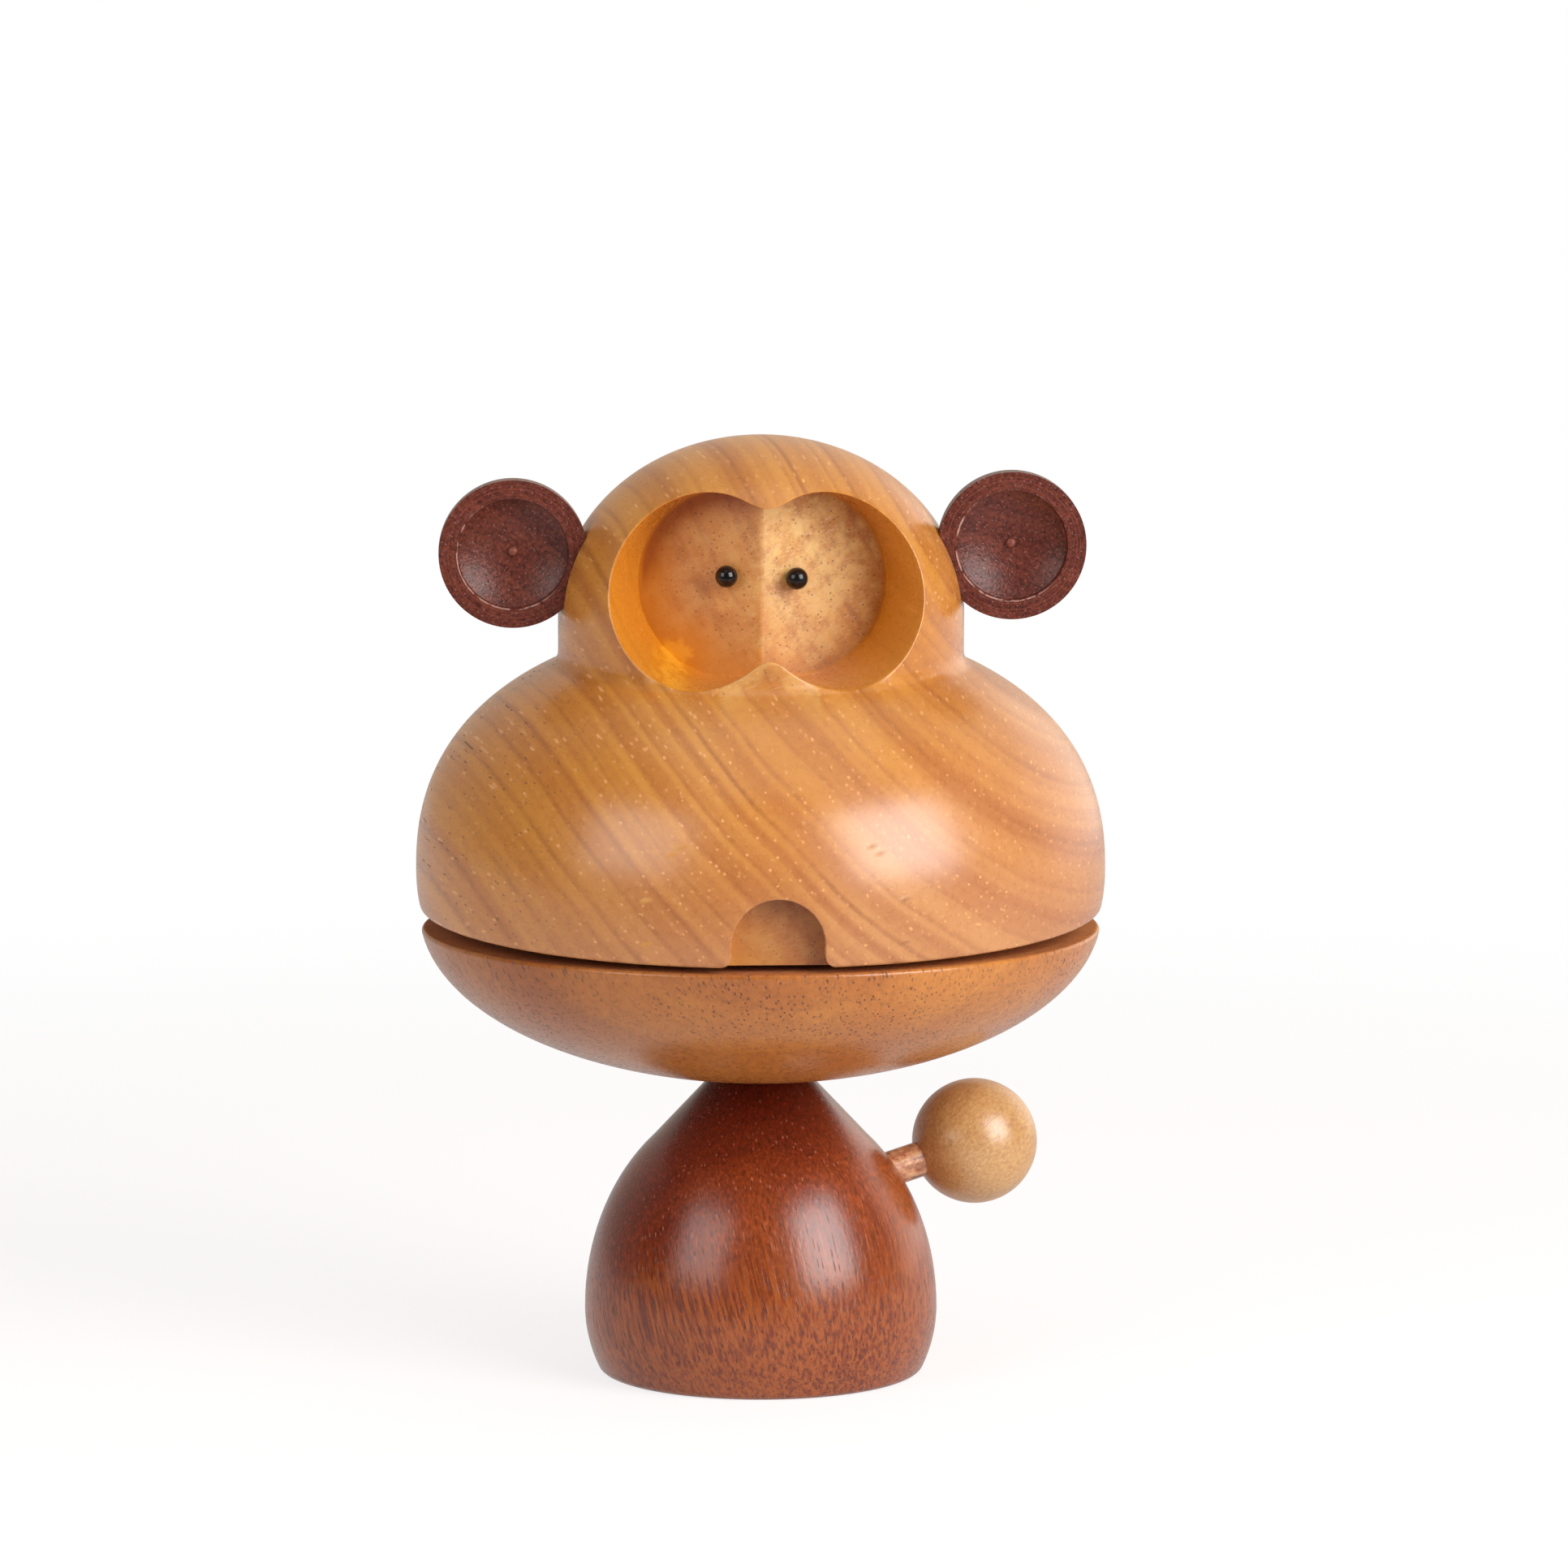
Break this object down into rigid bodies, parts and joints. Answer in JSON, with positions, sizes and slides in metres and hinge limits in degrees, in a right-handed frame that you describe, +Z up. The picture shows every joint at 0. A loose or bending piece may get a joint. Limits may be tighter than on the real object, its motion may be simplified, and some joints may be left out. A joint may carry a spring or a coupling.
{
  "type": "wooden music box",
  "caption": "Wind-up music box turned in wood as a monkey: a wide head with round ears turns on a shallow jaw and a bell-shaped body with a ball tail.",
  "frame": {"origin": "middle of the flat base, on the surface that it stands on", "axes": "+Z up along the head's turning axis, the face looks along -Y, the tail points along +X"},
  "size_m": [0.1, 0.0999, 0.137],
  "materials": {
    "dark_wood": "oiled red-brown hardwood, satin",
    "light_wood": "oiled honey-brown hardwood, satin",
    "ear_wood": "dark purple-brown hardwood, satin",
    "peg_wood": "reddish dowel, satin",
    "ball_wood": "tan hardwood, satin",
    "plywood": "plain plywood",
    "black_eye": "glossy black",
    "brass": "machined brass",
    "steel": "bright steel",
    "cast_frame": "as cast",
    "white_plastic": "moulded"
  },
  "bodies": {
    "stand": {"body": "dark_wood", "jaw": "light_wood", "body_screw": "steel", "body_washer": "steel", "jaw_insert": "brass", "shaft_hub": "brass", "hub_screws": "steel", "winding_shaft": "steel", "thrust_washer": "white_plastic", "crown_wheel": "brass", "ratchet_wheel": "steel", "click": "steel", "click_screw": "steel", "retaining_clip": "steel"},
    "head": {"head_block": "light_wood", "left_ear": "ear_wood", "right_ear": "ear_wood", "ear_dowels": "peg_wood", "left_eye": "black_eye", "right_eye": "black_eye", "movement_board": "plywood", "board_screws": "steel", "bedplate": "cast_frame", "movement_screws": "steel", "spring_barrel": "brass", "barrel_screws": "steel", "mainspring": "steel", "comb": "steel", "comb_screws": "steel", "governor_bracket": "steel", "governor_screws": "steel"},
    "cylinder": {"cylinder_arbor": "steel", "cylinder_pinion": "brass", "pin_cylinder": "brass", "cylinder_gear": "brass"},
    "governor": {"governor_arbor": "steel", "governor_pinion": "brass", "worm_wheel": "brass"},
    "fly": {"fly_worm": "white_plastic", "fly_vane": "white_plastic"},
    "tail": {"tail_peg": "peg_wood", "tail_ball": "ball_wood"}
  },
  "joints": [
    {"name": "head_turn", "type": "hinge", "parent": "stand", "child": "head", "pos_m": [0, 0, 0], "axis": [0, 0, 1], "continuous": true},
    {"name": "cylinder_spin", "type": "hinge", "parent": "head", "child": "cylinder", "pos_m": [0, 0, 0.0846], "axis": [1, 0, 0], "continuous": true},
    {"name": "governor_spin", "type": "hinge", "parent": "head", "child": "governor", "pos_m": [0, 0.01023, 0.0864], "axis": [1, 0, 0], "continuous": true},
    {"name": "fly_spin", "type": "hinge", "parent": "head", "child": "fly", "pos_m": [0.021, 0.01417, 0], "axis": [0, 0, 1], "continuous": true},
    {"name": "tail_turn", "type": "hinge", "parent": "stand", "child": "tail", "pos_m": [0.03191, 0.00915, 0.0319], "axis": [0.9285, 0.2662, 0.2588], "continuous": true}
  ],
  "couplings": [
    {"joint": "cylinder_spin", "follows": "head_turn", "ratio": 3.5},
    {"joint": "governor_spin", "follows": "head_turn", "ratio": -12.385},
    {"joint": "fly_spin", "follows": "head_turn", "ratio": 222.92}
  ]
}
